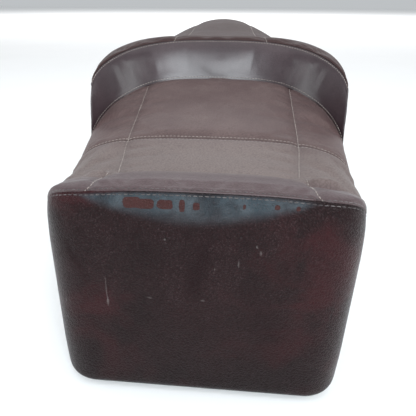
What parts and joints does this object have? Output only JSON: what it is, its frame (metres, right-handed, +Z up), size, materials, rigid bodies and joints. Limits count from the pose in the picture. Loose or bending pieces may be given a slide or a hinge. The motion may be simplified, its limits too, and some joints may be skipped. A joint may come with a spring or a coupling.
{
  "type": "two-up motorcycle seat",
  "caption": "Stepped two-up motorcycle seat with a padded leather cover on a moulded pan, a front hinge and a rear latch striker.",
  "frame": {"origin": "midway along the seat on its centre line, level with the bottom of the nose", "axes": "+Y from the nose to the tail, +Z up, X across the seat"},
  "size_m": [0.338, 0.706, 0.266],
  "materials": {
    "dark_leather": "satin",
    "panel_leather": "satin",
    "gloss_leather": "gloss",
    "foam": "matte",
    "moulded_plastic": "matte",
    "zinc_steel": "satin",
    "black_steel": "satin",
    "bush_plastic": "satin",
    "brass_insert": "satin",
    "buffer_rubber": "matte"
  },
  "bodies": {
    "seat": {"cover_nose": "dark_leather", "cover_rider_front": "panel_leather", "cover_rider_rear": "panel_leather", "cover_riser": "gloss_leather", "cover_pillion": "panel_leather", "cover_skirt_left": "dark_leather", "cover_skirt_right": "dark_leather", "cover_tail": "dark_leather", "foam_rider": "foam", "foam_pillion": "foam", "seat_pan": "moulded_plastic", "hem_staples": "zinc_steel", "hinge_pan_leaf": "black_steel", "hinge_pin": "zinc_steel", "hinge_pin_clip": "zinc_steel", "hinge_screws": "zinc_steel", "hinge_inserts": "brass_insert", "striker_loop": "zinc_steel", "striker_plate": "black_steel", "striker_backing_plate": "black_steel", "striker_screws": "zinc_steel", "striker_nuts": "zinc_steel", "buffer_front_left": "buffer_rubber", "buffer_front_right": "buffer_rubber", "buffer_middle_left": "buffer_rubber", "buffer_middle_right": "buffer_rubber", "buffer_rear_left": "buffer_rubber", "buffer_rear_right": "buffer_rubber"},
    "frame_leaf": {"hinge_frame_leaf": "black_steel", "hinge_bush_left": "bush_plastic", "hinge_bush_right": "bush_plastic"}
  },
  "joints": [
    {"name": "seat_hinge", "type": "hinge", "parent": "seat", "child": "frame_leaf", "pos_m": [0, -0.309, 0.015], "axis": [-1, 0, 0], "range_deg": [0, 90]}
  ]
}
